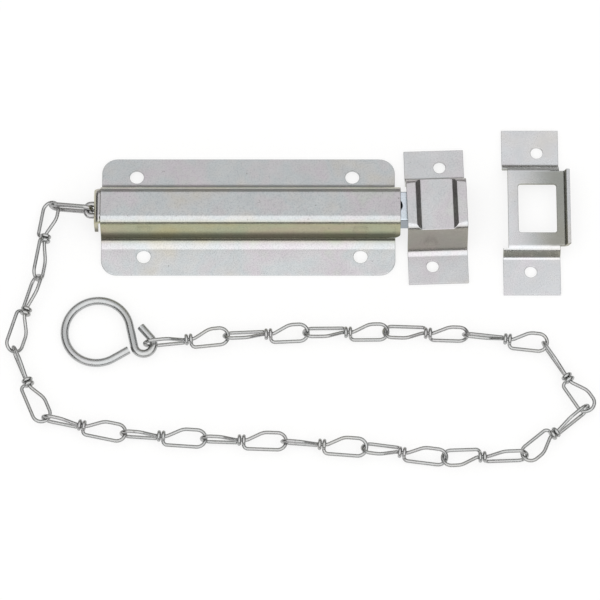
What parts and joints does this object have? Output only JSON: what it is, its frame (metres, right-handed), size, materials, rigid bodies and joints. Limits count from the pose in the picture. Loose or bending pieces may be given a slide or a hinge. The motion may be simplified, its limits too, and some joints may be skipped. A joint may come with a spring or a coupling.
{
  "type": "chain bolt",
  "caption": "Spring-loaded chain bolt: a square bevelled bolt in a folded sheet case, a knotted wire chain with a pull ring, a strap keeper and a window keeper.",
  "frame": {"origin": "centre of the case's plate at its flat back", "axes": "+X along the bolt towards its tip, +Y across the plate, +Z out of the mounting surface"},
  "size_m": [0.3023, 0.1859, 0.0225],
  "materials": {
    "zinc_sheet": "bright zinc plated steel sheet",
    "zinc_keeper": "bright zinc plated steel sheet",
    "zinc_bar": "bright zinc plated steel bar",
    "spring_steel": "spring wire",
    "chain_wire": "bright zinc plated wire",
    "ring_wire": "bright zinc plated wire"
  },
  "bodies": {
    "case": {"case": "zinc_sheet", "surface_keeper": "zinc_keeper", "window_keeper": "zinc_keeper"},
    "bolt": {"bolt": "zinc_bar", "pull_staple": "chain_wire", "spring": "spring_steel"},
    "oval_link": {"oval_link": "chain_wire"},
    "chain_link_01": {"chain_link_01": "chain_wire"},
    "chain_link_02": {"chain_link_02": "chain_wire"},
    "chain_link_03": {"chain_link_03": "chain_wire"},
    "chain_link_04": {"chain_link_04": "chain_wire"},
    "chain_link_05": {"chain_link_05": "chain_wire"},
    "chain_link_06": {"chain_link_06": "chain_wire"},
    "chain_link_07": {"chain_link_07": "chain_wire"},
    "chain_link_08": {"chain_link_08": "chain_wire"},
    "chain_link_09": {"chain_link_09": "chain_wire"},
    "chain_link_10": {"chain_link_10": "chain_wire"},
    "chain_link_11": {"chain_link_11": "chain_wire"},
    "chain_link_12": {"chain_link_12": "chain_wire"},
    "chain_link_13": {"chain_link_13": "chain_wire"},
    "chain_link_14": {"chain_link_14": "chain_wire"},
    "chain_link_15": {"chain_link_15": "chain_wire"},
    "chain_link_16": {"chain_link_16": "chain_wire"},
    "pull_ring": {"pull_ring": "ring_wire"}
  },
  "joints": [
    {"name": "bolt_slide", "type": "slide", "parent": "case", "child": "bolt", "axis": [1, 0, 0], "range_m": [-0.03175, 0], "stiffness_N_per_m": 850, "springref_m": 0.01, "deforming": ["spring"]},
    {"name": "oval_swing", "type": "hinge", "parent": "bolt", "child": "oval_link", "pos_m": [-0.0838, 0, 0.01145], "axis": [0, -1, 0], "range_deg": [-78, 44]},
    {"name": "link_01_swing", "type": "hinge", "parent": "oval_link", "child": "chain_link_01", "pos_m": [-0.10211, 0.00429, 0.00572], "axis": [-0.2865, 0.0583, 0.9563], "range_deg": [-80, 2]},
    {"name": "link_02_swing", "type": "hinge", "parent": "chain_link_01", "child": "chain_link_02", "pos_m": [-0.10885, -0.03595, 0.0056], "axis": [-0.4324, 0.0724, 0.8988], "range_deg": [-80, 2]},
    {"name": "link_03_swing", "type": "hinge", "parent": "chain_link_02", "child": "chain_link_03", "pos_m": [-0.12083, -0.07516, 0.0056], "axis": [0.802, -0.2452, -0.5446], "range_deg": [-80, 20]},
    {"name": "link_04_swing", "type": "hinge", "parent": "chain_link_03", "child": "chain_link_04", "pos_m": [-0.10341, -0.11283, 0.0056], "axis": [0.9183, 0.3898, -0.0698], "range_deg": [-74, 62]},
    {"name": "link_05_swing", "type": "hinge", "parent": "chain_link_04", "child": "chain_link_05", "pos_m": [-0.0621, -0.11989, 0.0056], "axis": [-0.2079, -0.9781, 0], "range_deg": [-80, 80]},
    {"name": "link_06_swing", "type": "hinge", "parent": "chain_link_05", "child": "chain_link_06", "pos_m": [-0.02116, -0.12247, 0.0056], "axis": [0.0698, 0.9976, 0], "range_deg": [-80, 80]},
    {"name": "link_07_swing", "type": "hinge", "parent": "chain_link_06", "child": "chain_link_07", "pos_m": [0.01981, -0.12383, 0.0056], "axis": [-0.0349, -0.9994, 0], "range_deg": [-80, 80]},
    {"name": "link_08_swing", "type": "hinge", "parent": "chain_link_07", "child": "chain_link_08", "pos_m": [0.06068, -0.12713, 0.0056], "axis": [-0.0773, -0.9818, -0.1736], "range_deg": [-36, 48]},
    {"name": "link_09_swing", "type": "hinge", "parent": "chain_link_08", "child": "chain_link_09", "pos_m": [0.09927, -0.13266, 0.0056], "axis": [0.0337, -0.9653, 0.2588], "range_deg": [-80, 80]},
    {"name": "link_10_swing", "type": "hinge", "parent": "chain_link_09", "child": "chain_link_10", "pos_m": [0.14071, -0.13246, 0.0056], "axis": [0.6326, -0.7674, 0.1045], "range_deg": [-80, 80]},
    {"name": "link_11_swing", "type": "hinge", "parent": "chain_link_10", "child": "chain_link_11", "pos_m": [0.17505, -0.1068, 0.0056], "axis": [-0.8305, -0.5393, -0.1392], "range_deg": [-44, 40]},
    {"name": "link_12_swing", "type": "hinge", "parent": "chain_link_11", "child": "chain_link_12", "pos_m": [0.15364, -0.07093, 0.0056], "axis": [-0.1, -0.8773, -0.4695], "range_deg": [-80, 36]},
    {"name": "link_13_swing", "type": "hinge", "parent": "chain_link_12", "child": "chain_link_13", "pos_m": [0.11292, -0.06613, 0.0056], "axis": [0.0185, 0.5296, 0.848], "range_deg": [-80, 80]},
    {"name": "link_14_swing", "type": "hinge", "parent": "chain_link_13", "child": "chain_link_14", "pos_m": [0.06989, -0.06462, 0.0056], "axis": [-0.0296, -0.8475, 0.5299], "range_deg": [-80, 80]},
    {"name": "link_15_swing", "type": "hinge", "parent": "chain_link_14", "child": "chain_link_15", "pos_m": [0.03094, -0.06498, 0.0056], "axis": [0.0353, -0.8082, -0.5878], "range_deg": [-80, 80]},
    {"name": "link_16_swing", "type": "hinge", "parent": "chain_link_15", "child": "chain_link_16", "pos_m": [-0.01003, -0.06664, 0.0056], "axis": [0.1045, -0.9945, 0], "range_deg": [-56, 80]},
    {"name": "ring_swing", "type": "hinge", "parent": "chain_link_16", "child": "pull_ring", "pos_m": [-0.05285, -0.07114, 0.0056], "axis": [0, 0, 1], "range_deg": [-28, 110]}
  ]
}
